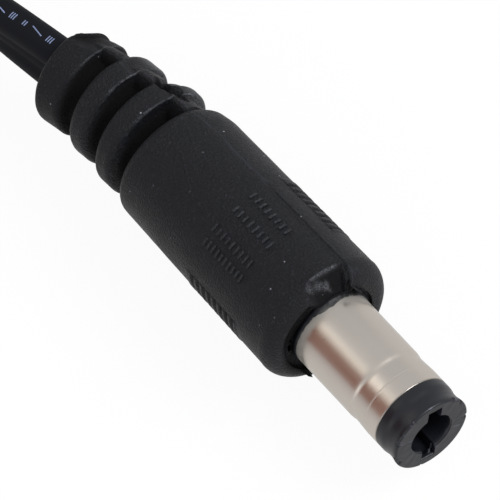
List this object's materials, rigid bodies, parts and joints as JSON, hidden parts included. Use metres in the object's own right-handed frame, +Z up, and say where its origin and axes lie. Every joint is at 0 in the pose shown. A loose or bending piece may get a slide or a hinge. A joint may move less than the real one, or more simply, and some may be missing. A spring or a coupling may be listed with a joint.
{
  "type": "dc barrel plug",
  "caption": "Overmoulded DC barrel plug with ribbed strain relief on a flat twin pigtail that is tied in a hank and ends in stripped, tinned cores.",
  "frame": {"origin": "on the plane that the plug lies on, below the middle of the plug's own length, without its pigtail", "axes": "+X along the barrel towards its tip, +Z up, +Y to the left seen from the cable's end"},
  "size_m": [0.1397, 0.0341, 0.0093],
  "materials": {
    "moulding": "black PVC with a fine spark-eroded texture",
    "barrel_metal": "satin nickel plate on brass",
    "tip_plastic": "semi-gloss black nylon",
    "contact_metal": "plain brass strip",
    "washer": "black fibre washer",
    "solder": "dull solder",
    "copper": "stranded copper",
    "cable_sheath": "semi-gloss black PVC",
    "tie": "white coated twist tie",
    "tinned": "tinned copper strands"
  },
  "bodies": {
    "root": {"overmould": "moulding", "barrel_sleeve": "barrel_metal", "tip_insulator": "tip_plastic", "centre_contact": "contact_metal", "ring_terminal": "contact_metal", "rear_washer": "washer", "solder_centre": "solder", "solder_sleeve": "solder", "strands_centre": "copper", "strands_sleeve": "copper", "core_insulation": "cable_sheath", "cable": "cable_sheath", "cable_hank": "cable_sheath", "hank_tie": "tie", "end_core_centre": "cable_sheath", "end_core_sleeve": "cable_sheath", "end_strands_centre": "tinned", "end_strands_sleeve": "tinned"}
  },
  "joints": []
}
